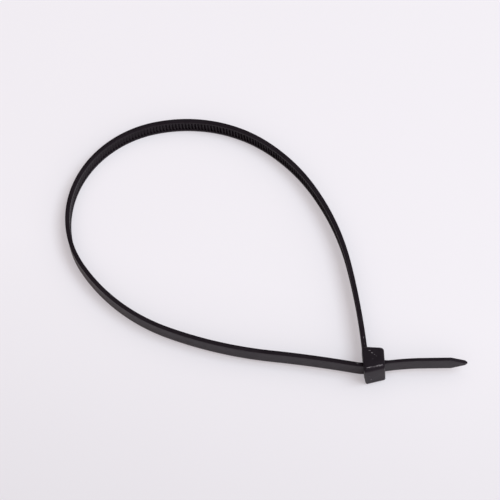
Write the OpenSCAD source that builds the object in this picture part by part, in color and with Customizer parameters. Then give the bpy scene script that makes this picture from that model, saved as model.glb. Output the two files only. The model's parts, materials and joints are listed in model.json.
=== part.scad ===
// Nylon cable tie, closed into a teardrop loop with its tail through the head.
// One moulding: a toothed strap, a head with its slot and a hinged locking pawl, and a thin pulling tail.
// The loop is drawn first in its own plane: the slot starts at the origin and runs along X,
// and the strap leaves the head along Y. The last module lays the finished tie on the table.

/* [Tie] */
// Length of the whole tie laid flat, from the nose of the head to the tip of the tail
tie_len = 286; // [285:0.5:310]
// Diameter of the bundle that the round end of the loop is closed around
bundle_d = 58; // [50:0.5:58]
// How far round the bundle the strap turns at that constant radius
seat_turn = 110; // [110:1:116]

/* [Strap] */
// Width of the strap
strap_w = 4.8; // [4.4:0.1:5.2]
// Thickness of the strap over its smooth rails
strap_t = 1.2; // [1.1:0.05:1.4]
// Width of the smooth rail on each side of the teeth
rail_w = 0.85; // [0.7:0.05:1.1]
// Distance from one tooth to the next
tooth_pitch = 0.93; // [0.85:0.01:1.1]
// Height of a tooth above the floor of its channel
tooth_h = 0.45; // [0.3:0.05:0.6]
// Smooth length of strap between the head and the first tooth
plain_len = 6; // [4:0.5:12]
// Extra thickness of the strap on each side at its root, which fades away along the strap
root_swell = 0.1; // [0:0.02:0.16]
// Radius of the bend that turns the strap into the slot
lead_r = 8; // [6:0.5:10]

/* [Tail] */
// Length of the thin tail that sticks out of the head
tail_len = 22.5; // [16:0.5:24]
// Thickness of the thin tail
tail_t = 0.9; // [0.7:0.05:1.05]
// Radius of the bend that the tail keeps close to the head
tail_r = 76; // [50:2:100]
// How far that bend turns, before the tail runs on straight
tail_turn = 7.5; // [0:0.5:12]
// Length of the pointed end of the tail
point_len = 4.4; // [4:0.2:7]
// Width that the pointed end narrows to
point_w = 1.2; // [0.8:0.1:2]
// Length of the blunt nib at the very tip, which also thins down
nib_len = 0.65; // [0.4:0.05:1]
// Height of the cross ribs that give the fingers a grip
rib_h = 0.15; // [0.1:0.05:0.3]
// Distance from one cross rib to the next
rib_pitch = 1.6; // [1.2:0.1:2.4]

/* [Head] */
// Width of the head across the strap
head_w = 8; // [7.4:0.1:9]
// Depth of the head along its slot
head_d = 5.85; // [5.5:0.05:6.4]
// From the middle of the slot to the nose of the head, on the side where the strap enters
nose_l = 2.8; // [2.3:0.1:3.2]
// From the middle of the slot to the root of the strap, on the side where the strap enters
root_l = 5; // [4.8:0.1:5.6]
// Slope of the nose face and the root face, which narrow the head towards the tail
head_draft = 9; // [0:0.5:10]
// How much the head gets less deep from its root to its nose, on the side where the tail leaves
nose_taper = 0.25; // [0:0.05:0.5]
// Radius of the rounded edges of the head
head_edge = 0.55; // [0.3:0.05:0.7]
// Radius of the corner beside the root of the strap, on the side where the tail leaves
shoulder_r = 1.1; // [0.8:0.1:1.4]
// Length of the web that stiffens the strap where it leaves the head
web_l = 1.6; // [0.8:0.1:2.4]

/* [Lock] */
// Slope of the slot through the head, rising towards the root of the strap
slot_rise = 2.5; // [0:0.5:5]
// Gap beside and under the strap in its slot
slot_gap = 0.12; // [0.08:0.02:0.2]
// Gap between the teeth of the pawl and the teeth of the strap
mesh_gap = 0.06; // [0.04:0.01:0.1]
// Gap on each side of the pawl in its chamber
pawl_gap = 0.3; // [0.2:0.05:0.4]
// Thickness of the tongue of the pawl
pawl_t = 0.9; // [0.7:0.05:1.1]
// Number of teeth on the pawl
pawl_teeth = 3; // [2:1:3]
// Thickness of the wall between the pawl chamber and the root of the strap
root_wall = 2; // [1.8:0.1:2.4]
// Thickness of the wall on the entry side that carries the hinge of the pawl
entry_wall = 0.8; // [0.6:0.1:1]

/* [Hidden] */
$fn = 48;

// The bends of the loop, from the head out and round: [radius over that of the round end, turn in degrees].
// The teardrop has one nearly straight side, the round end, and a fuller side that comes back to the head.
closing_turn = 145;
loop_bends = [
    [7.4, 7.5],
    [2.58, 20],
    [1.82, 20],
    [1.32, 50],
    [1, seat_turn],
    [1.78, closing_turn - seat_turn],
    [3.83, 15]
];
seat_bend = 4;

// The rails stand this much proud on the round end, and are trimmed back to the bundle's own cylinder
seat_pad = 0.03;
seat_trim = 0.06;
seat_r = bundle_d / 2 + seat_pad + strap_t / 2;

// How the strap meets the head, and how far its extra thickness reaches
root_embed = 1.7;
root_inset = 0.3;
root_run = 14;
root_start = [root_inset + strap_t / 2, root_l - root_embed];
slot_start = [0.9, 0.3];
slot_run_out = 0.35;

// Shape of one tooth, as shares of the pitch: the steep side, then the flat top, then the long ramp
tooth_rise = 0.1;
tooth_top = 0.28;
tip_drop = 0.05;
channel_w = strap_w - 2 * rail_w;

// Thin tail. Its rails thin down over the ramp, and the teeth run on past them for the tooth lag.
// The outline of the point gives [distance from the tip, half width],
// and nib_pinch is what each side loses in thickness at the tip.
tail_ramp = 1.5;
tooth_lag = 2;
rib_w = 0.5;
nib_pinch = 0.3;
point_outline = [
    [point_len, strap_w / 2],
    [nib_len, point_w / 2],
    [0, point_w / 6]
];

// Lock
slot_w = strap_w + 2 * slot_gap;
pawl_side = 0.15;
pawl_w = channel_w - 2 * pawl_side;
chamber_w = pawl_w + 2 * pawl_gap;
chamber_top = root_l - root_wall;
hinge_drop = 0.25;
hinge_embed = 0.2;
pawl_relief = 0.15;

nylon = [0.09, 0.085, 0.095];

// Plane geometry of a path.
// A leg is [length, turn in degrees], and a post is [point, heading, length so far].
function rad(turn) = turn * PI / 180;
function along(heading) = [cos(heading), sin(heading)];
function inward(heading) = [-sin(heading), cos(heading)];
function heading_after(post, leg, run) = post[1] + leg[1] * run / leg[0];
function point_after(post, leg, run) = leg[1] == 0
    ? post[0] + run * along(post[1])
    : post[0] + leg[0] / rad(leg[1]) * (inward(post[1]) - inward(heading_after(post, leg, run)));
function next_post(post, leg) = [
    point_after(post, leg, leg[0]),
    post[1] + leg[1],
    post[2] + leg[0]
];
function posts_of(post, legs, i = 0) = i == len(legs)
    ? [post]
    : concat([post], posts_of(next_post(post, legs[i]), legs, i + 1));
function bend(radius, turn) = [radius * rad(turn), turn];

// The loop as far as its fuller side, from the root of the strap
loop_legs = [for (b = loop_bends) bend(b[0] * seat_r, b[1])];
loop_posts = posts_of([root_start, 90, 0], loop_legs);
loop_end = loop_posts[len(loop_legs)];

// The closing bend touches the end of the loop and the lead-in bend, so the strap always reaches the slot
lead_centre = slot_start + lead_r * inward(slot_rise);
lead_gap = loop_end[0] - lead_centre;
close_r = (lead_r * lead_r - lead_gap * lead_gap) / (2 * (inward(loop_end[1]) * lead_gap + lead_r));
lead_normal = (lead_centre - loop_end[0] - close_r * inward(loop_end[1])) / (lead_r - close_r);
lead_heading = 360 + atan2(-lead_normal[0], lead_normal[1]);
close_leg = bend(close_r, lead_heading - loop_end[1]);
lead_leg = bend(lead_r, 360 + slot_rise - lead_heading);
slot_leg = [head_d - slot_start[0] + slot_run_out, 0];
used_len = loop_end[2] + close_leg[0] + lead_leg[0] + slot_leg[0];
exit_s = used_len - slot_run_out;

// Once the tie is closed, at least this much of it sticks out of the head,
// so a larger bundle than its length can go round takes a longer tie
least_out = 21.5;
strap_len = max(tie_len - nose_l - root_start[1], exit_s + least_out);
tail_start = strap_len - tail_len;
tail_bend = bend(-tail_r, -tail_turn);
tail_leg = [strap_len - used_len - tail_bend[0], 0];

legs = concat(loop_legs, [close_leg, lead_leg, slot_leg, tail_bend, tail_leg]);
posts = posts_of([root_start, 90, 0], legs);
slot_s = posts[len(legs) - 3][2];
pawl_end = floor(exit_s / tooth_pitch);

// Point, and then a point beside the middle of the strap, at a length s along it
function leg_at(s, i = 0) = i == len(legs) - 1 || s < posts[i + 1][2] ? i : leg_at(s, i + 1);
function heading_at(s) = let (i = leg_at(s)) heading_after(posts[i], legs[i], s - posts[i][2]);
function beside(s, offset) = let (i = leg_at(s), run = s - posts[i][2])
    point_after(posts[i], legs[i], run) + offset * inward(heading_after(posts[i], legs[i], run));

// Distance of each side from the middle line: thicker at the root and pinched at the nib.
// The rails on the inner side also go down a ramp to the thin tail, and the teeth follow a little later.
function swell(s) = root_swell * max(0, 1 - s / root_run);
function pinch(s) = nib_pinch * max(0, (s - strap_len + nib_len) / nib_len);
function outer_face(s) = strap_t / 2 + swell(s) - pinch(s);
function thinning(run) = (strap_t - tail_t) * min(1, max(0, run / tail_ramp));
function inner_face(s) = outer_face(s) - thinning(s - tail_start);

// The strap is sampled once a tooth and at both ends of its nib, and its layers share those samples
last_step = floor((strap_len - nib_len) / tooth_pitch);
steps = [for (i = [0 : last_step]) i * tooth_pitch];
nib = [strap_len - nib_len, strap_len];
first_tooth = ceil((root_embed + plain_len) / tooth_pitch);
last_tooth = max(floor((tail_start + tooth_lag) / tooth_pitch), pawl_end);
function on_seat(s) = s > posts[seat_bend][2] - tooth_pitch && s < posts[seat_bend + 1][2] + tooth_pitch;
function rail_face(s) = inner_face(s) + (on_seat(s) ? seat_pad + seat_trim : 0);
function backwards(list) = [for (i = [len(list) - 1 : -1 : 0]) list[i]];

outer_side = [for (s = concat(steps, nib)) beside(s, -outer_face(s))];
rail_side = [for (s = concat(steps, nib)) beside(s, rail_face(s))];

function tooth_tip(s) = outer_face(s) - thinning(s - tail_start - tooth_lag) - tip_drop;
function tooth_floor(s) = tooth_tip(s) - tooth_h;
function one_tooth(i) = let (s = i * tooth_pitch) [
    [s, tooth_floor(s)],
    [s + tooth_rise * tooth_pitch, tooth_tip(s)],
    [s + tooth_top * tooth_pitch, tooth_tip(s)]
];
function teeth(first, last) = [for (i = [first : last]) each one_tooth(i)];
toothed_side = concat(
    [for (i = [0 : first_tooth - 1]) beside(i * tooth_pitch, tooth_tip(i * tooth_pitch))],
    [for (p = teeth(first_tooth, last_tooth)) beside(p[0], p[1])],
    [for (i = [last_tooth + 1 : last_step]) beside(i * tooth_pitch, tooth_tip(i * tooth_pitch))],
    [for (s = nib) beside(s, tooth_tip(s))]
);

// One layer of the strap, between its outer side and the given inner side
module strap_layer(inner_side, low, high)
    translate([0, 0, low])
        linear_extrude(height = high - low)
            polygon(concat(outer_side, backwards(inner_side)));

module seat_cylinder()
    translate(concat(beside(posts[seat_bend][2], seat_r), [0]))
        cylinder(h = 1.4 * strap_w, r = bundle_d / 2, center = true, $fn = 96);

// Cuts the pointed end of the tail, on one side
module point_cut()
    rotate([90, 0, 0])
        linear_extrude(height = 4 * strap_t, center = true)
            polygon(concat(
                [for (p = point_outline) [-p[0], p[1]]],
                [[nib_len, point_w / 6], [nib_len, strap_w], [-point_len, strap_w]]
            ));

module tail_ribs()
    for (s = [tail_start + tail_ramp + rib_pitch : rib_pitch : strap_len - point_len - rib_pitch])
        translate(concat(beside(s, inner_face(s)), [0]))
            rotate(heading_at(s))
                cube([rib_w, 2 * rib_h, channel_w], center = true);

module strap() {
    difference() {
        union() {
            strap_layer(toothed_side, -channel_w / 2, channel_w / 2);
            difference() {
                union() {
                    strap_layer(rail_side, -strap_w / 2, -channel_w / 2);
                    strap_layer(rail_side, channel_w / 2, strap_w / 2);
                }
                seat_cylinder();
            }
            tail_ribs();
        }
        translate(concat(beside(strap_len, 0), [0]))
            rotate(heading_at(strap_len))
                for (side = [0, 1])
                    mirror([0, 0, side])
                        point_cut();
    }
}

// Rounds the corners of a convex outline, each to its own radius
function unit(v) = v / norm(v);
function rounded_corner(before, corner, after, r) = let (
    u = unit(before - corner),
    v = unit(after - corner),
    half = acos(u * v) / 2,
    centre = corner + unit(u + v) * r / sin(half),
    start = corner + u * r / tan(half),
    from = atan2(start[1] - centre[1], start[0] - centre[0]),
    steps = 6
) [for (k = [0 : steps]) centre + r * along(from + k / steps * (180 - 2 * half))];
function rounded(points, radii) = let (n = len(points)) [
    for (i = [0 : n - 1])
        each rounded_corner(points[(i + n - 1) % n], points[i], points[(i + 1) % n], radii[i])
];

// Outline of the head seen along the table's Z, pulled in by an inset on every side
function head_outline(inset) = let (
    draft = tan(head_draft),
    low = inset,
    high = head_d - inset,
    nose_high = high - nose_taper,
    edge = max(0.1 * head_edge, head_edge - inset)
) rounded([
    [low, -nose_l + inset + low * draft],
    [nose_high, -nose_l + inset + nose_high * draft],
    [high, root_l - inset - high * draft],
    [low, root_l - inset - low * draft]
], [edge, edge, shoulder_r - inset, edge]);

module head_block() {
    bevel = head_edge * (1 - cos(45));
    hull() {
        linear_extrude(height = head_w, center = true)
            polygon(head_outline(head_edge));
        linear_extrude(height = head_w - 2 * bevel, center = true)
            polygon(head_outline(bevel));
        linear_extrude(height = head_w - 2 * head_edge, center = true)
            polygon(head_outline(0));
    }
}

// What lies in the slot is drawn along it, from the place where the strap straightens
module along_slot()
    translate(concat(slot_start, [0]))
        rotate(slot_rise)
            children();

// Slot for the strap, and the chamber over it in which the pawl swings
module slot() {
    along_slot()
        translate([-head_d, -strap_t / 2 - slot_gap, -slot_w / 2])
            cube([3 * head_d, strap_t + 2 * slot_gap, slot_w]);
    translate([entry_wall, 0, -chamber_w / 2])
        cube([head_d, chamber_top, chamber_w]);
}

// The pawl: a tongue hinged on the entry wall, whose teeth sit in the teeth of the strap
module pawl() {
    hinge_x = entry_wall - slot_start[0];
    hinge_y = chamber_top - hinge_drop;
    under = [for (p = teeth(pawl_end - pawl_teeth, pawl_end - 1)) [p[0] - slot_s, p[1] + mesh_gap]];
    heel = [under[0][0] - pawl_relief, strap_t / 2 + mesh_gap];
    tip = [pawl_end * tooth_pitch - slot_s, under[0][1]];
    along_slot()
        translate([0, 0, -pawl_w / 2])
            linear_extrude(height = pawl_w)
                polygon(concat(
                    [[hinge_x - hinge_embed, hinge_y], [hinge_x - hinge_embed, hinge_y - pawl_t]],
                    [[hinge_x + pawl_relief, hinge_y - pawl_t], heel],
                    under,
                    [tip, tip + [0, 0.8 * pawl_t], tip + [-1.1 * pawl_t, 1.2 * pawl_t]]
                ));
}

// Web between the outer side of the strap and the root face of the head
module root_web() {
    x = root_inset + strap_t;
    y = root_l - (x + web_l / 2) * tan(head_draft);
    embed = 0.2 * strap_t;
    translate([0, 0, -channel_w / 2])
        linear_extrude(height = channel_w)
            polygon([
                [x - embed, y - embed],
                [x + web_l / 2, y - embed],
                [x + web_l / 2, y],
                [x - embed, y + web_l]
            ]);
}

module head() {
    difference() {
        head_block();
        slot();
    }
    pawl();
    root_web();
}

// How the tie lies on the table: on the low corner of its head and on the far side of the loop
middle = [for (s = steps) beside(s, 0)];
function sum(list, i = 0) = i == len(list) - 1 ? list[i] : list[i] + sum(list, i + 1);
balance = sum(middle) / len(middle);
head_corner = [head_edge, root_l - head_edge];
lean = unit(balance - head_corner);
reach = max([for (p = middle) (p - head_corner) * lean]) + strap_t / 2;
tilt = asin((head_w - strap_w) / 2 / reach);
xs = [for (p = outer_side) p[0]];
ys = [for (p = concat(outer_side, head_outline(0))) p[1]];
centre = [(min(xs) + max(xs)) / 2, (min(ys) + max(ys)) / 2];
lift = head_w / 2 * cos(tilt) + (head_corner - centre) * lean * sin(tilt);

module cable_tie()
    color(nylon)
        translate([0, 0, lift])
            rotate(a = tilt, v = [-lean[1], lean[0], 0])
                translate([-centre[0], -centre[1], 0]) {
                    strap();
                    head();
                }

cable_tie();
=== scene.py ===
import json
import math

import bpy
import numpy as np
from mathutils import Matrix, Vector


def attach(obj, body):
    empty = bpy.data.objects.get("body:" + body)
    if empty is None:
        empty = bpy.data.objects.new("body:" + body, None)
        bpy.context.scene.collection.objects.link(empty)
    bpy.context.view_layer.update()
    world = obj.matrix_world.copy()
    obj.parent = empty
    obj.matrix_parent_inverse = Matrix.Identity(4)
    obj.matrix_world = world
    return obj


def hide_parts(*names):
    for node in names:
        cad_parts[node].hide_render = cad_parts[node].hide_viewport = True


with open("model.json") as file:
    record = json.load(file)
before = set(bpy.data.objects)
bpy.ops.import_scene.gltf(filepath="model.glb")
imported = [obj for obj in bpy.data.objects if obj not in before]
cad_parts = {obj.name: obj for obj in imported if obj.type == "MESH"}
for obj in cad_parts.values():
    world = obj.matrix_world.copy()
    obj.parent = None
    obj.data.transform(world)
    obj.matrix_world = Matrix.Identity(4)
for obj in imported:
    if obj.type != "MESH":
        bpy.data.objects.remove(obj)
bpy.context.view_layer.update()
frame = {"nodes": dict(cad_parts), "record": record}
mm = 0.001
print("frame loaded:", ", ".join(sorted(frame["nodes"])))

# The line that the middle of the strap follows, in its own plane and in millimetres.
# The slot starts at the origin and runs along X, and the strap leaves the head along Y.
route = {
    "tieLength": 286,  # from the nose of the head to the tip of the tail, laid flat
    "bundleRadius": 29,  # the round end is closed around this
    # bends of the loop from the root of the strap: (radius over that of the round end, degrees)
    "bends": [(7.4, 7.5), (2.58, 20), (1.82, 20), (1.32, 50), (1, 110), (1.78, 35), (3.83, 15)],
    "seatBend": 4,  # the one of them that lies on the bundle
    "rootPoint": (0.925, 3.3),
    "slotPoint": (0.9, 0.3),
    "slotRise": 2.5,  # slope of the slot, in degrees
    "slotLength": 5.3,
    "leadRadius": 8,
    "tailRadius": 76,
    "tailTurn": 7.5,
    "noseLength": 2.8,
    "railProud": 0.03,  # how much the rails stand proud on the seat
}

strapForm = {
    "width": 4.8,
    "thickness": 1.2,
    "rootSwell": 0.1,  # extra thickness of each side at the root
    "rootRun": 14,
    "railWidth": 0.85,
    "outerRound": 0.13,  # radius of the long edges on the smooth side
    "railRound": 0.1,
    # from rail to teeth: (distance past the channel's side, drop under the rail), None for the tooth
    "channelEase": [(0.07, 0), (0.01, -0.05), (-0.02, None)],
    "rootEmbed": 1.7,
    "plainLength": 6,
    "toothPitch": 0.93,
    "toothHeight": 0.45,
    "tipDrop": 0.05,  # the teeth end just under the rails
    # one tooth as (share of the pitch, share of the height): the steep side, the flat top, the long ramp
    "toothShape": [(0, 0), (0.03, 0.05), (0.1, 0.94), (0.13, 1), (0.25, 1), (0.3, 0.95), (0.92, 0.05)],
    "plainStep": 0.6,  # distance from ring to ring where there are no teeth
    "smoothAngle": 38,
}

tailForm = {
    "length": 22.5,
    "thickness": 0.9,
    "ramp": 1.5,
    "toothLag": 2,  # the teeth run on this far past the ramp
    "point": [(4.4, 2.4), (0.65, 0.6), (0, 0.2)],  # from the tip, half width
    "nibPinch": 0.3,
    "ribHeight": 0.15,
    "ribPitch": 1.6,
    "ribProfile": [(-0.25, 0), (-0.2, 1), (0.2, 1), (0.25, 0)],
    "ribClear": 0.3,  # no plain ring comes nearer to a rib than this
    "step": 0.4,
    "ringGap": 0.01,  # nearer rings than this are one
}


def bend(radius, turn):
    return (abs(radius * math.radians(turn)), turn)


def heading(degrees):
    return np.array([math.cos(math.radians(degrees)), math.sin(math.radians(degrees))])


def inwardOf(degrees):
    return np.array([-math.sin(math.radians(degrees)), math.cos(math.radians(degrees))])


def legEnd(point, direction, leg):
    length, turn = leg
    chord = length * np.sinc(math.radians(turn) / 2 / math.pi)
    return point + chord * heading(direction + turn / 2), direction + turn


# Legs of the route as (length, turn): the loop, the bend that closes it, the slot and the tail
def layRoute():
    seatRadius = route["bundleRadius"] + route["railProud"] + strapForm["thickness"] / 2
    legs = [bend(seatRadius * share, turn) for share, turn in route["bends"]]
    point = np.array(route["rootPoint"], float)
    direction = 90.0
    for number, leg in enumerate(legs):
        if number == route["seatBend"]:
            seatCentre = point + seatRadius * inwardOf(direction)
        point, direction = legEnd(point, direction, leg)
    lead = route["leadRadius"]
    slotPoint = np.array(route["slotPoint"], float)
    leadCentre = slotPoint + lead * inwardOf(route["slotRise"])
    gap = point - leadCentre
    closeRadius = (lead * lead - gap @ gap) / (2 * (inwardOf(direction) @ gap + lead))
    normal = (leadCentre - point - closeRadius * inwardOf(direction)) / (lead - closeRadius)
    leadHeading = 360 + math.degrees(math.atan2(-normal[0], normal[1]))
    legs.append(bend(closeRadius, leadHeading - direction))
    legs.append(bend(lead, 360 + route["slotRise"] - leadHeading))
    legs.append((route["slotLength"], 0))
    legs.append(bend(route["tailRadius"], -route["tailTurn"]))
    strapLength = route["tieLength"] - route["noseLength"] - route["rootPoint"][1]
    legs.append((strapLength - sum(leg[0] for leg in legs), 0))
    return legs, strapLength, seatCentre


legs, strapLength, seatCentre = layRoute()
posts = [(np.array(route["rootPoint"], float), 90.0, 0.0)]
for leg in legs:
    end, direction = legEnd(posts[-1][0], posts[-1][1], leg)
    posts.append((end, direction, posts[-1][2] + leg[0]))
postPoint = np.array([post[0] for post in posts[:-1]])
postHeading = np.radians([post[1] for post in posts[:-1]])
postRun = np.array([post[2] for post in posts[:-1]])
legLength = np.array([leg[0] for leg in legs])
legTurn = np.radians([leg[1] for leg in legs])
slotRun = posts[-4][2]
print("strap length", round(strapLength, 2), "mm, slot starts at", round(slotRun, 2), "mm")


# Points in the plane of the loop at lengths s along the strap, moved by offset towards its inside
def beside(s, offset):
    s = np.asarray(s, float)
    leg = np.clip(np.searchsorted(postRun, s, side="right") - 1, 0, len(legs) - 1)
    run = s - postRun[leg]
    turn = legTurn[leg] * run / legLength[leg]
    chord = run * np.sinc(turn / 2 / math.pi)
    middle = postHeading[leg] + turn / 2
    ahead = postHeading[leg] + turn
    x = postPoint[leg, 0] + chord * np.cos(middle) - offset * np.sin(ahead)
    y = postPoint[leg, 1] + chord * np.sin(middle) + offset * np.cos(ahead)
    return x, y


# The bundle seat says where the tie lies: its centre, and how the loop leans on the table
seat = next(mount for mount in frame["record"]["mounts"] if mount["name"] == "bundle_seat")
lean = Vector((0, 0, 1)).rotation_difference(Vector(seat["axis"])).to_matrix()


def place(points):
    local = np.asarray(points, float) - [seatCentre[0], seatCentre[1], 0]
    return local * mm @ np.array(lean).T + np.array(seat["pos_m"])


def meshPiece(name, points, faces, material):
    mesh = bpy.data.meshes.new(name)
    mesh.from_pydata([tuple(p) for p in points], [], faces)
    mesh.validate()
    piece = bpy.data.objects.new(name, mesh)
    bpy.context.scene.collection.objects.link(piece)
    mesh.materials.append(material)
    return piece


def shadeSmooth(piece, angle):
    piece.data.shade_smooth()
    piece.data.set_sharp_from_angle(angle=math.radians(angle))


# Nylon: near black, with a fine moulded grain and a low, broad gloss.
# The teeth and the channel that they stand in are duller, and their darker colour is painted shade among
# the teeth. The pale finish of the flash lip and the scuffs is partly real scuffing and partly painted
# highlight: the glint along the lip and along the parting line at the strap's root.
nylonFinish = {
    "strapNylon": {"deep": (0.0115, 0.0085, 0.0115, 1), "worn": (0.016, 0.0122, 0.0158, 1),
                   "specular": 0.16, "roughness": (0.3, 0.42), "grain": 0.35},
    # Darker than strapNylon: painted shade among the teeth and on the loop's inside
    "toothNylon": {"deep": (0.008, 0.0048, 0.0078, 1), "worn": (0.0125, 0.0085, 0.0122, 1),
                   "specular": 0.09, "roughness": (0.34, 0.46), "grain": 0.5},
    "headNylon": {"deep": (0.013, 0.0102, 0.0135, 1), "worn": (0.0175, 0.014, 0.018, 1),
                  "specular": 0.13, "roughness": (0.3, 0.42), "grain": 0.5},
    # Pale finish: partly real scuffing, partly a painted highlight for the glint on the flash lip and on
    # the parting line
    "scuffAndGlintNylon": {"deep": (0.02, 0.017, 0.02, 1), "worn": (0.32, 0.3, 0.32, 1),
                     "specular": 0.4, "roughness": (0.5, 0.65), "grain": 0.8, "mottleSize": 1300},
}
nylonGrain = {
    "grainSize": 3600,  # per metre
    "mottleSize": 260,  # per metre, where the finish gives none of its own
    "mottleRange": (0.35, 0.72),  # where the mottle turns from deep to worn
    "roughRange": (0.3, 0.7),
    "detail": (6, 3),  # of the mottle and of the grain
    "mottleRoughness": 0.62,
    "bumpDepth": 0.00004,  # in metres
    "ior": 1.53,
    # pinkish tint of all the gloss: a painted reflection of the warm room
    "paintedReflectionTint": (1, 0.82, 0.95, 1),
}


def nylon(name):
    finish = nylonFinish[name]
    material = bpy.data.materials.new(name)
    material.use_nodes = True
    nodes = material.node_tree.nodes
    links = material.node_tree.links
    shader = nodes["Principled BSDF"]
    shader.inputs["IOR"].default_value = nylonGrain["ior"]
    shader.inputs["Specular IOR Level"].default_value = finish["specular"]
    shader.inputs["Specular Tint"].default_value = nylonGrain["paintedReflectionTint"]
    spot = nodes.new("ShaderNodeTexCoord")

    mottle = nodes.new("ShaderNodeTexNoise")
    mottle.inputs["Scale"].default_value = finish.get("mottleSize", nylonGrain["mottleSize"])
    mottle.inputs["Detail"].default_value = nylonGrain["detail"][0]
    mottle.inputs["Roughness"].default_value = nylonGrain["mottleRoughness"]
    links.new(spot.outputs["Object"], mottle.inputs["Vector"])

    tone = nodes.new("ShaderNodeValToRGB")
    tone.color_ramp.elements[0].position = nylonGrain["mottleRange"][0]
    tone.color_ramp.elements[0].color = finish["deep"]
    tone.color_ramp.elements[1].position = nylonGrain["mottleRange"][1]
    tone.color_ramp.elements[1].color = finish["worn"]
    links.new(mottle.outputs["Fac"], tone.inputs["Fac"])
    links.new(tone.outputs["Color"], shader.inputs["Base Color"])

    rough = nodes.new("ShaderNodeMapRange")
    rough.inputs["From Min"].default_value = nylonGrain["roughRange"][0]
    rough.inputs["From Max"].default_value = nylonGrain["roughRange"][1]
    rough.inputs["To Min"].default_value = finish["roughness"][0]
    rough.inputs["To Max"].default_value = finish["roughness"][1]
    links.new(mottle.outputs["Fac"], rough.inputs["Value"])
    links.new(rough.outputs["Result"], shader.inputs["Roughness"])

    fine = nodes.new("ShaderNodeTexNoise")
    fine.inputs["Scale"].default_value = nylonGrain["grainSize"]
    fine.inputs["Detail"].default_value = nylonGrain["detail"][1]
    links.new(spot.outputs["Object"], fine.inputs["Vector"])
    bump = nodes.new("ShaderNodeBump")
    bump.inputs["Strength"].default_value = finish["grain"]
    bump.inputs["Distance"].default_value = nylonGrain["bumpDepth"]
    links.new(fine.outputs["Fac"], bump.inputs["Height"])
    links.new(bump.outputs["Normal"], shader.inputs["Normal"])
    return material


strapNylon, toothNylon, headNylon, scuffAndGlintNylon = (nylon(name) for name in nylonFinish)
print("nylon finishes made")


# Distance of the smooth side from the middle line: more at the root, less at the nib
def outerHeight(s):
    nibLength = tailForm["point"][1][0]
    swell = strapForm["rootSwell"] * np.maximum(0, 1 - s / strapForm["rootRun"])
    pinch = tailForm["nibPinch"] * np.maximum(0, (s - strapLength + nibLength) / nibLength)
    return strapForm["thickness"] / 2 + swell - pinch


# Height of the inner side, which goes down a ramp to the thin tail
def innerHeight(s, lag):
    share = np.clip((s - (strapLength - tailForm["length"]) - lag) / tailForm["ramp"], 0, 1)
    return outerHeight(s) - share * (strapForm["thickness"] - tailForm["thickness"])


def ringLengths():
    pitch = strapForm["toothPitch"]
    firstTooth = math.ceil((strapForm["rootEmbed"] + strapForm["plainLength"]) / pitch)
    tailStart = strapLength - tailForm["length"]
    lastTooth = math.floor((tailStart + tailForm["toothLag"]) / pitch)
    rings = [(s, 1.0) for s in np.arange(0, firstTooth * pitch - 0.05, strapForm["plainStep"])]
    for tooth in range(firstTooth, lastTooth + 1):
        rings += [((tooth + share) * pitch, rise) for share, rise in strapForm["toothShape"]]
    ribFrom = tailStart + tailForm["ramp"] + tailForm["ribPitch"]
    ribTo = strapLength - tailForm["point"][0][0] - tailForm["ribPitch"]
    ribs = np.arange(ribFrom, ribTo, tailForm["ribPitch"])
    ribRise = tailForm["ribHeight"] / strapForm["toothHeight"]
    for rib in ribs:
        rings += [(rib + shift, 1 + ribRise * rise) for shift, rise in tailForm["ribProfile"]]
    for s in np.arange((lastTooth + 1) * pitch, strapLength, tailForm["step"]):
        if not any(abs(s - rib) < tailForm["ribClear"] for rib in ribs):
            rings.append((s, 1.0))
    rings += [(strapLength - tailForm["point"][1][0], 1.0), (strapLength, 1.0)]
    rings.sort()
    kept = [rings[0]]
    for ring in rings[1:]:
        if ring[0] - kept[-1][0] > tailForm["ringGap"]:
            kept.append(ring)
    return np.array(kept)


# One half of the strap's section, from the middle of its smooth side to the middle of its toothed side.
# Each point has its distance across, the face that it belongs to, and its distance from that face.
def halfSection():
    half = strapForm["width"] / 2
    outer = strapForm["outerRound"]
    rail = strapForm["railRound"]
    channel = half - strapForm["railWidth"]
    section = [(0, "outer", 0), (0.5 * half, "outer", 0)]
    for step in range(7):
        a = math.radians(15 * step)
        section.append((half - outer + outer * math.sin(a), "outer", outer * (1 - math.cos(a))))
    for step in range(4):
        a = math.radians(30 * step)
        section.append((half - rail + rail * math.cos(a), "rail", rail * (math.sin(a) - 1)))
    for shift, drop in strapForm["channelEase"]:
        section.append((channel + shift, "tooth" if drop is None else "rail", drop or 0))
    section += [(0.5 * channel, "tooth", 0), (0, "tooth", 0)]
    return section


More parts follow.
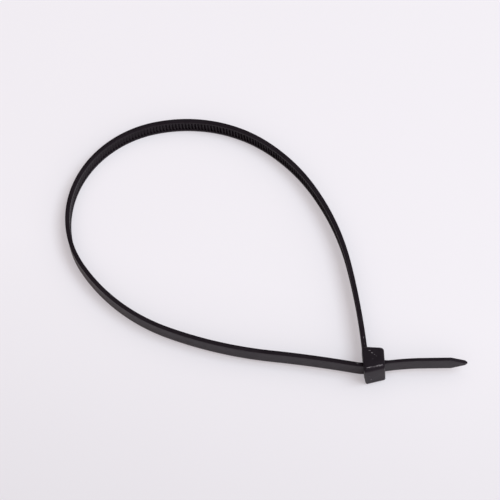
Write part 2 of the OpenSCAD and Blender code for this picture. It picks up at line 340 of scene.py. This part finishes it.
def makeStrap():
    rings = ringLengths()
    s, rise = rings[:, 0], rings[:, 1]
    rail = innerHeight(s, 0)
    tooth = innerHeight(s, tailForm["toothLag"]) - strapForm["tipDrop"]
    tooth = tooth - strapForm["toothHeight"] * (1 - rise)
    outer = -outerHeight(s)
    fromTip = strapLength - s
    reach, halfWidth = zip(*reversed(tailForm["point"]))
    narrow = np.interp(fromTip, reach, halfWidth) / halfWidth[-1]
    section = halfSection()
    section += [(-across, face, shift) for across, face, shift in reversed(section[1:-1])]
    faces = {"outer": outer, "rail": rail, "tooth": tooth}
    points = np.zeros((len(s), len(section), 3))
    for number, (across, face, shift) in enumerate(section):
        x, y = beside(s, faces[face] + shift)
        points[:, number] = np.stack([x, y, across * narrow], 1)
    count = len(section)
    quads = []
    for ring in range(len(s) - 1):
        for number in range(count):
            after = (number + 1) % count
            a, b = ring * count, (ring + 1) * count
            quads.append((a + number, a + after, b + after, b + number))
    last = (len(s) - 1) * count
    ends = [tuple(range(count))[::-1], tuple(last + number for number in range(count))]
    piece = meshPiece("strap", place(points.reshape(-1, 3)), quads + ends, strapNylon)
    # The toothed side gets toothNylon, whose darker colour is painted shade
    piece.data.materials.append(toothNylon)
    inner = np.array([face != "outer" for across, face, shift in section])
    for polygon in piece.data.polygons:
        numbers = [vertex % count for vertex in polygon.vertices]
        polygon.material_index = int(len(numbers) == 4 and inner[numbers].all())
    shadeSmooth(piece, strapForm["smoothAngle"])
    print("strap:", len(s), "rings,", len(quads), "faces")
    return piece


strap = makeStrap()
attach(strap, "root")
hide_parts("cable_tie")

headForm = {
    "width": 8,  # across the strap
    "depth": 5.98,  # along the slot
    "nose": 2.8,  # from the middle of the slot to each end
    "root": 5.1,
    "draft": 9,  # slope of the nose face and the root face, in degrees
    "noseTaper": 0.25,
    "topLean": 0.1,  # the entry face leans in by this much from its middle to its top
    "baseLean": 0.36,  # and by this much to its base
    "edge": 0.45,  # radius of the edges
    "leastEdge": 0.06,  # smallest radius of a corner of the outline
    "noseEdge": 0.95,  # radius of the edge over the nose, and over the root
    "rootEdge": 0.7,
    "shoulder": 1.1,
    "slotGap": 0.12,
    "pawlGap": 0.3,
    "pawlSide": 0.15,
    "rootWall": 2,
    "entryWall": 0.8,
    "webLength": 1.6,
    "webEmbed": 0.24,
    "edgeSteps": 8,
    "smoothAngle": 30,
}


# Rounds the corners of a convex outline, each to its own radius
def rounded(corners, radii, steps):
    outline = []
    for number, corner in enumerate(corners):
        corner = np.array(corner)
        u = np.array(corners[number - 1]) - corner
        v = np.array(corners[(number + 1) % len(corners)]) - corner
        u, v = u / np.linalg.norm(u), v / np.linalg.norm(v)
        half = math.acos(u @ v) / 2
        middle = (u + v) / np.linalg.norm(u + v)
        centre = corner + middle * radii[number] / math.sin(half)
        start = corner + u * radii[number] / math.tan(half) - centre
        first = math.atan2(start[1], start[0])
        for step in range(steps + 1):
            a = first + step / steps * (math.pi - 2 * half)
            outline.append(centre + radii[number] * np.array([math.cos(a), math.sin(a)]))
    return outline


# How far an edge of that radius is rounded off at that depth under the face
def roundOff(radius, depth):
    return radius - math.sqrt(max(0, radius ** 2 - max(0, radius - depth) ** 2))


# Outline of the head at a height over its middle
def headOutline(height):
    half = headForm["width"] / 2
    depth = half - abs(height)
    inset = roundOff(headForm["edge"], depth)
    noseInset = roundOff(headForm["noseEdge"] if height > 0 else headForm["edge"], depth)
    rootInset = roundOff(headForm["rootEdge"] if height > 0 else headForm["edge"], depth)
    draft = math.tan(math.radians(headForm["draft"]))
    low = inset + headForm["topLean" if height > 0 else "baseLean"] * abs(height) / half
    high = headForm["depth"] - inset
    noseHigh = high - headForm["noseTaper"]
    edge = max(headForm["leastEdge"], headForm["edge"] - inset)
    nose, root = -headForm["nose"] + noseInset, headForm["root"] - rootInset
    corners = [
        (low, nose + low * draft),
        (noseHigh, nose + noseHigh * draft),
        (high, root - high * draft),
        (low, root - low * draft),
    ]
    return rounded(corners, [edge, edge, headForm["shoulder"] - inset, edge], headForm["edgeSteps"])


def blockMesh(name, levels, material):
    points, faces = [], []
    for z, outline in levels:
        points += [(p[0], p[1], z) for p in outline]
    count = len(levels[0][1])
    for level in range(len(levels) - 1):
        for number in range(count):
            after = (number + 1) % count
            a, b = level * count, (level + 1) * count
            faces.append((a + number, a + after, b + after, b + number))
    top = (len(levels) - 1) * count
    faces += [tuple(range(count))[::-1], tuple(top + number for number in range(count))]
    return meshPiece(name, place(points), faces, material)


# Points drawn along the slot, from the place where the strap straightens
def alongSlot(points):
    ahead, aside = heading(route["slotRise"]), inwardOf(route["slotRise"])
    return [tuple(route["slotPoint"] + x * ahead + y * aside) for x, y in points]


def cut(piece, tool, operation):
    modifier = piece.modifiers.new(tool.name, "BOOLEAN")
    modifier.operation = operation
    modifier.object = tool
    modifier.solver = "EXACT"
    depsgraph = bpy.context.evaluated_depsgraph_get()
    made = bpy.data.meshes.new_from_object(piece.evaluated_get(depsgraph))
    piece.modifiers.clear()
    piece.data = made
    bpy.data.objects.remove(tool)


def makeHead():
    half = headForm["width"] / 2
    steps = headForm["edgeSteps"]
    arc = [math.radians(90 * step / steps) for step in range(steps + 1)]
    heights = [half - headForm["noseEdge"] * (1 - math.cos(a)) for a in arc]
    heights = [-height for height in heights] + [0] + heights[::-1]
    piece = blockMesh("head", [(height, headOutline(height)) for height in heights], headNylon)

    # Web that stiffens the root of the strap
    channel = strapForm["width"] - 2 * strapForm["railWidth"]
    x = route["rootPoint"][0] + strapForm["thickness"] / 2
    y = headForm["root"] - (x + headForm["webLength"] / 2) * math.tan(math.radians(headForm["draft"]))
    far, embed = x + headForm["webLength"] / 2, headForm["webEmbed"]
    web = [(x - embed, y - embed), (far, y - embed), (far, y), (x - embed, y + headForm["webLength"])]
    cut(piece, blockMesh("web", [(-channel / 2, web), (channel / 2, web)], headNylon), "UNION")

    # Slot for the strap, and the chamber over it for the pawl
    high = strapForm["thickness"] / 2 + headForm["slotGap"]
    depth = headForm["depth"]
    slot = alongSlot([(-depth, -high), (2 * depth, -high), (2 * depth, high), (-depth, high)])
    slotHalf = strapForm["width"] / 2 + headForm["slotGap"]
    cut(piece, blockMesh("slot", [(-slotHalf, slot), (slotHalf, slot)], headNylon), "DIFFERENCE")
    chamberHalf = channel / 2 - headForm["pawlSide"] + headForm["pawlGap"]
    ceiling = headForm["root"] - headForm["rootWall"]
    wall = headForm["entryWall"]
    chamber = [(wall, 0), (2 * depth, 0), (2 * depth, ceiling), (wall, ceiling)]
    levels = [(-chamberHalf, chamber), (chamberHalf, chamber)]
    cut(piece, blockMesh("chamber", levels, headNylon), "DIFFERENCE")
    shadeSmooth(piece, headForm["smoothAngle"])
    print("head:", len(piece.data.polygons), "faces")
    return piece


head = makeHead()
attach(head, "root")
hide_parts("cable_tie")

# The pawl's teeth stand in those of the strap
pawlForm = {
    "teeth": 3,
    "toothShape": [(0, 0), (0.1, 1), (0.28, 1)],  # (share of the pitch, share of the height)
    "thickness": 0.9,
    "meshGap": 0.06,
    "hingeDrop": 0.25,
    "hingeEmbed": 0.2,
    "relief": 0.15,
    "tip": [(0, 0.8), (-1.1, 1.2)],  # behind and over the last tooth, in thicknesses
}


def makePawl():
    pitch = strapForm["toothPitch"]
    end = math.floor((slotRun + headForm["depth"] - route["slotPoint"][0]) / pitch)
    rail = strapForm["thickness"] / 2
    floor = rail - strapForm["tipDrop"] - strapForm["toothHeight"] + pawlForm["meshGap"]
    under = []
    for tooth in range(end - pawlForm["teeth"], end):
        for share, rise in pawlForm["toothShape"]:
            under.append(((tooth + share) * pitch - slotRun, floor + rise * strapForm["toothHeight"]))
    hingeX = headForm["entryWall"] - route["slotPoint"][0]
    hingeY = headForm["root"] - headForm["rootWall"] - pawlForm["hingeDrop"]
    thick = pawlForm["thickness"]
    nose = (end * pitch - slotRun, floor)
    outline = [
        (hingeX - pawlForm["hingeEmbed"], hingeY),
        (hingeX - pawlForm["hingeEmbed"], hingeY - thick),
        (hingeX + pawlForm["relief"], hingeY - thick),
        (under[0][0] - pawlForm["relief"], rail + pawlForm["meshGap"]),
        *under,
        nose,
        *((nose[0] + x * thick, nose[1] + y * thick) for x, y in pawlForm["tip"]),
    ]
    half = (strapForm["width"] - 2 * strapForm["railWidth"]) / 2 - headForm["pawlSide"]
    outline = alongSlot(outline)
    piece = blockMesh("pawl", [(-half, outline), (half, outline)], headNylon)
    print("pawl:", len(piece.data.polygons), "faces")
    return piece


pawl = makePawl()
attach(pawl, "root")
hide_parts("cable_tie")

# Thin ragged lip of flash that stands up near the nose edge of the head's top face. Its pale colour is a
# painted highlight, the glint along that edge.
lipForm = {
    "line": [(0.9, -1.56), (1.5, -1.5), (2.7, -1.38), (4.3, -1.22), (5.2, -1.15)],
    "crest": [0.02, 0.04, 0.07, 0.03, 0.08, 0.05, 0.02, 0.07, 0.1,
              0.08, 0.12, 0.09, 0.13, 0.12, 0.15, 0.17, 0.06],  # its height along the line
    "ripple": (0.18, 23),  # share of the height, and radians per millimetre
    "sway": 0.07,
    "swayWaves": (5.1, 1.7),  # radians per millimetre
    "width": 0.46,
    "widen": (0.6, 0.5),  # share of the width at the start, and what it gains to the end
    "widthRipple": (0.3, 9),  # share of the width, and radians per millimetre
    # section as (share of the half width, share of the height), where None is sunk into the face
    "section": [(-1, None), (-0.5, 0.8), (0, 1), (0.7, 0.5), (1, None)],
    "sink": 0.05,
    "step": 0.09,
    "smoothAngle": 50,
}


def makeLip():
    line = np.array(lipForm["line"])
    x = np.arange(line[0, 0], line[-1, 0], lipForm["step"])
    share = (x - x[0]) / (x[-1] - x[0])
    quick, slow = lipForm["swayWaves"]
    y = np.interp(x, line[:, 0], line[:, 1]) + lipForm["sway"] * np.sin(quick * x) * np.sin(slow * x + 1)
    crest = np.interp(share, np.linspace(0, 1, len(lipForm["crest"])), lipForm["crest"])
    height, waves = lipForm["ripple"]
    crest = crest * (1 + height * np.sin(waves * x))
    top = headForm["width"] / 2
    start, gain = lipForm["widen"]
    spread, waves = lipForm["widthRipple"]
    half = lipForm["width"] / 2 * (start + gain * share + spread * np.sin(waves * x + 0.5))
    points = []
    for number in range(len(x)):
        for across, rise in lipForm["section"]:
            up = -lipForm["sink"] if rise is None else rise * crest[number]
            points.append((x[number], y[number] - across * half[number], top + up))
    count = len(lipForm["section"])
    last = (len(x) - 1) * count
    faces = []
    for ring in range(len(x) - 1):
        for side in range(count):
            after = (side + 1) % count
            a, b = ring * count, (ring + 1) * count
            faces.append((a + side, b + side, b + after, a + after))
    faces += [tuple(range(count)), tuple(last + side for side in range(count))[::-1]]
    piece = meshPiece("flashLipAndGlint", place(points), faces, scuffAndGlintNylon)
    shadeSmooth(piece, lipForm["smoothAngle"])
    print("flash lip:", len(faces), "faces")
    return piece


# Small scuffs, each a low ragged chip in the pale finish, which is partly real scuffing and partly
# painted highlight
chipForm = {
    "sides": 10,
    "ragged": 0.25,
    "raggedWaves": (3.7, 5),
    "sink": 0.03,
    "topShare": 0.6,
    "smoothAngle": 60,
}

# [place, direction of its length, direction away from the face, length, width, height]
scuffForm = [
    [(2.1, 3.47, 4), (1, -0.05, 0), (0, 0, 1), 0.8, 0.26, 0.035],
    [(2.65, 2.75, 4), (1, -0.5, 0), (0, 0, 1), 0.55, 0.4, 0.05],
    [(3.3, 2.2, 4), (0.7, -0.7, 0), (0, 0, 1), 0.4, 0.14, 0.03],
    [(3.75, 1.65, 4), (0.9, -0.5, 0), (0, 0, 1), 0.4, 0.16, 0.03],
    [(2.75, 1.0, 4), (0.3, 1, 0), (0, 0, 1), 0.3, 0.1, 0.02],
    [(1.91, -2.5, -1.29), (1, 0.16, 0.2), (0.156, -0.988, 0), 0.54, 0.52, 0.16],
    [(1.45, -2.57, 0.7), (0.3, 0.05, 1), (0.156, -0.988, 0), 0.3, 0.14, 0.02],
    [(-1.42, 0.72, 2.4), (1, 0, 0), (0, 0, 1), 0.5, 0.26, 0.04],
    # These two paint the glint along the parting line on the strap's top edge at its root: a low real
    # ridge with a painted highlight
    [(0.9, 8.3, 2.4), (0.1, 1, 0), (0, 0, 1), 0.8, 0.2, 0.03],
    [(1.0, 6.5, 2.4), (-0.1, 1, 0), (0, 0, 1), 0.7, 0.2, 0.03],
]


def makeScuffs():
    points, faces = [], []
    sides, narrow = chipForm["sides"], chipForm["topShare"]
    byStep, bySpot = chipForm["raggedWaves"]
    for spot, along, away, length, width, height in scuffForm:
        spot, along, away = Vector(spot), Vector(along).normalized(), Vector(away).normalized()
        across = away.cross(along)
        start = len(points)
        rim = []
        for step in range(sides):
            a = math.radians(360 / sides * step)
            ragged = 1 + chipForm["ragged"] * math.sin(byStep * step + bySpot * spot.x)
            rim.append((0.5 * length * ragged * math.cos(a), 0.5 * width * ragged * math.sin(a)))
        points += [spot + along * u + across * v - away * chipForm["sink"] for u, v in rim]
        points += [spot + narrow * along * u + narrow * across * v + away * height for u, v in rim]
        for step in range(sides):
            after = (step + 1) % sides
            faces.append((start + step, start + after, start + sides + after, start + sides + step))
        faces.append(tuple(start + step for step in range(sides - 1, -1, -1)))
        faces.append(tuple(start + sides + step for step in range(sides)))
    piece = meshPiece("scuffs", place([tuple(point) for point in points]), faces, scuffAndGlintNylon)
    shadeSmooth(piece, chipForm["smoothAngle"])
    print("scuffs:", len(scuffForm))
    return piece


# The flash lip and the scuffs, pale partly from real scuffing and partly from painted highlight
for worn in (makeLip(), makeScuffs()):
    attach(worn, "root")
    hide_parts("cable_tie")

# Table, light and camera
studio = {
    "tableColour": (0.89, 0.865, 0.92, 1),
    "tableSize": 3.0,
    "tableRoughness": 0.85,
    "tableSpecular": 0.2,
    "cloudSize": 9,  # faint clouds in the table's tone, per metre
    "cloudShade": 0.985,
    # Painted shade: the table's colour darkens towards its near left corner, where the light falls off
    "paintedCornerShade": 0.12,  # how much darker the table gets towards its near left corner
    "cornerSide": (-0.35, -1, 0),
    "cornerReach": (0.01, 0.1),  # in metres along that way
    "tableGlow": 0.36,  # share of the table that the camera sees without its shadows
    "brightSide": (1.25, 1.13, 1.08, 1),  # light of the room from its window side, and from the other
    "dimSide": (0.08, 0.06, 0.045, 1),
    "dimUpTo": 0.2,  # up to this cosine from the window, the room is at its dimmest
    "windowAzimuth": -40,
    "windowElevation": 66,
    "horizon": (0.8, 0.78, 0.82, 1),  # what glossy faces mirror low down and overhead
    "zenith": (0.05, 0.042, 0.055, 1),
    "skyRange": (0.1, 0.35),  # heights where the one ends and the other starts
    "backdrop": (0.88, 0.86, 0.91, 1),
}


# Direction from the tie towards an azimuth and elevation in degrees
def directionOf(azimuth, elevation):
    a, e = math.radians(azimuth), math.radians(elevation)
    return Vector((math.cos(a) * math.cos(e), math.sin(a) * math.cos(e), math.sin(e)))


def makeTable():
    bpy.ops.mesh.primitive_plane_add(size=studio["tableSize"], location=(0, 0, 0))
    table = bpy.context.object
    table.name = "table"
    material = bpy.data.materials.new("paleTable")
    material.use_nodes = True
    nodes = material.node_tree.nodes
    links = material.node_tree.links
    shader = nodes["Principled BSDF"]
    shader.inputs["Roughness"].default_value = studio["tableRoughness"]
    shader.inputs["Specular IOR Level"].default_value = studio["tableSpecular"]
    spot = nodes.new("ShaderNodeTexCoord")
    cloud = nodes.new("ShaderNodeTexNoise")
    cloud.inputs["Scale"].default_value = studio["cloudSize"]
    links.new(spot.outputs["Object"], cloud.inputs["Vector"])
    tint = nodes.new("ShaderNodeMix")
    tint.data_type = "RGBA"
    tint.inputs["A"].default_value = studio["tableColour"]
    cloudColour = [studio["cloudShade"] * c for c in studio["tableColour"][:3]]
    tint.inputs["B"].default_value = (*cloudColour, 1)
    links.new(cloud.outputs["Fac"], tint.inputs["Factor"])
    # Painted shade, the fall-off of the light towards the near left corner, mixed into the table's
    # colour
    corner = nodes.new("ShaderNodeVectorMath")
    corner.operation = "DOT_PRODUCT"
    corner.inputs[1].default_value = studio["cornerSide"]
    links.new(spot.outputs["Object"], corner.inputs[0])
    fade = nodes.new("ShaderNodeMapRange")
    fade.inputs["From Min"].default_value = studio["cornerReach"][0]
    fade.inputs["From Max"].default_value = studio["cornerReach"][1]
    fade.inputs["To Max"].default_value = studio["paintedCornerShade"]
    links.new(corner.outputs["Value"], fade.inputs["Value"])
    shaded = nodes.new("ShaderNodeMix")
    shaded.data_type = "RGBA"
    shaded.inputs["B"].default_value = (0, 0, 0, 1)
    links.new(fade.outputs["Result"], shaded.inputs["Factor"])
    links.new(tint.outputs["Result"], shaded.inputs["A"])
    links.new(shaded.outputs["Result"], shader.inputs["Base Color"])

    glow = nodes.new("ShaderNodeEmission")
    links.new(shaded.outputs["Result"], glow.inputs["Color"])
    ray = nodes.new("ShaderNodeLightPath")
    share = nodes.new("ShaderNodeMath")
    share.operation = "MULTIPLY"
    share.inputs[1].default_value = studio["tableGlow"]
    links.new(ray.outputs["Is Camera Ray"], share.inputs[0])
    mix = nodes.new("ShaderNodeMixShader")
    links.new(share.outputs["Value"], mix.inputs["Fac"])
    links.new(shader.outputs["BSDF"], mix.inputs[1])
    links.new(glow.outputs["Emission"], mix.inputs[2])
    links.new(mix.outputs["Shader"], nodes["Material Output"].inputs["Surface"])
    table.data.materials.append(material)


def makeWorld():
    world = bpy.data.worlds.new("studioWorld")
    bpy.context.scene.world = world
    world.use_nodes = True
    nodes = world.node_tree.nodes
    links = world.node_tree.links
    nodes.clear()
    output = nodes.new("ShaderNodeOutputWorld")
    spot = nodes.new("ShaderNodeTexCoord")
    split = nodes.new("ShaderNodeSeparateXYZ")
    links.new(spot.outputs["Generated"], split.inputs["Vector"])
    sky = nodes.new("ShaderNodeValToRGB")
    sky.color_ramp.elements[0].position = studio["skyRange"][0]
    sky.color_ramp.elements[0].color = studio["horizon"]
    sky.color_ramp.elements[1].position = studio["skyRange"][1]
    sky.color_ramp.elements[1].color = studio["zenith"]
    links.new(split.outputs["Z"], sky.inputs["Fac"])
    mirrored = nodes.new("ShaderNodeBackground")
    links.new(sky.outputs["Color"], mirrored.inputs["Color"])
    toWindow = nodes.new("ShaderNodeVectorMath")
    toWindow.operation = "DOT_PRODUCT"
    toWindow.inputs[1].default_value = directionOf(studio["windowAzimuth"], studio["windowElevation"])
    links.new(spot.outputs["Generated"], toWindow.inputs[0])
    side = nodes.new("ShaderNodeMapRange")
    side.inputs["From Min"].default_value = studio["dimUpTo"]
    links.new(toWindow.outputs["Value"], side.inputs["Value"])
    room = nodes.new("ShaderNodeMix")
    room.data_type = "RGBA"
    room.inputs["A"].default_value = studio["dimSide"]
    room.inputs["B"].default_value = studio["brightSide"]
    links.new(side.outputs["Result"], room.inputs["Factor"])
    fill = nodes.new("ShaderNodeBackground")
    links.new(room.outputs["Result"], fill.inputs["Color"])
    seen = nodes.new("ShaderNodeBackground")
    seen.inputs["Color"].default_value = studio["backdrop"]
    ray = nodes.new("ShaderNodeLightPath")
    glossy = nodes.new("ShaderNodeMixShader")
    links.new(ray.outputs["Is Glossy Ray"], glossy.inputs["Fac"])
    links.new(fill.outputs["Background"], glossy.inputs[1])
    links.new(mirrored.outputs["Background"], glossy.inputs[2])
    mix = nodes.new("ShaderNodeMixShader")
    links.new(ray.outputs["Is Camera Ray"], mix.inputs["Fac"])
    links.new(glossy.outputs["Shader"], mix.inputs[1])
    links.new(seen.outputs["Background"], mix.inputs[2])
    links.new(mix.outputs["Shader"], output.inputs["Surface"])


# One soft lamp from the right of the tie, in metres and watts
lamps = [
    {"name": "keyLamp", "azimuth": -14, "elevation": 60, "distance": 1.5, "size": 0.8, "power": 11.2,
     "colour": (0.8, 0.95, 1)},
]


def makeLamps():
    for lamp in lamps:
        data = bpy.data.lights.new(lamp["name"], "AREA")
        data.shape = "SQUARE"
        data.size = lamp["size"]
        data.energy = lamp["power"]
        data.color = lamp["colour"]
        away = directionOf(lamp["azimuth"], lamp["elevation"])
        light = bpy.data.objects.new(lamp["name"], data)
        light.location = away * lamp["distance"]
        light.rotation_mode = "QUATERNION"
        light.rotation_quaternion = away.to_track_quat("Z", "Y")
        bpy.context.scene.collection.objects.link(light)


# The photograph looks down on the tie from the side of its head's nose,
# turned a little about the view line
view = {
    "target": (-2.428, -0.501, 3.3),  # in millimetres
    "elevation": 61.6,
    "azimuth": 1.107,
    "roll": -6.004,
    "focalPixels": 2384,
    "pixelsPerMillimetre": 3.6213,  # at the target
    "framePixels": 500,
    "sensorWidth": 36,
}


def makeCamera():
    e, a, roll = (math.radians(view[k]) for k in ("elevation", "azimuth", "roll"))
    forward = Vector((-math.sin(a) * math.cos(e), math.cos(a) * math.cos(e), -math.sin(e)))
    right0 = Vector((math.cos(a), math.sin(a), 0))
    up0 = right0.cross(forward)
    right = right0 * math.cos(roll) + up0 * math.sin(roll)
    up = right.cross(forward)
    data = bpy.data.cameras.new("photoCamera")
    data.sensor_width = view["sensorWidth"]
    data.lens = data.sensor_width * view["focalPixels"] / view["framePixels"]
    camera = bpy.data.objects.new("photoCamera", data)
    turn = Matrix((right, up, -forward)).transposed()
    distance = view["focalPixels"] / view["pixelsPerMillimetre"] * mm
    target = Vector(view["target"]) * mm
    camera.matrix_world = Matrix.Translation(target - forward * distance) @ turn.to_4x4()
    data.clip_start, data.clip_end = 0.01, 20
    bpy.context.scene.collection.objects.link(camera)
    bpy.context.scene.camera = camera


makeTable()
makeWorld()
makeLamps()
makeCamera()
bpy.context.scene.view_settings.view_transform = "Standard"
print("table, lamps and camera set")
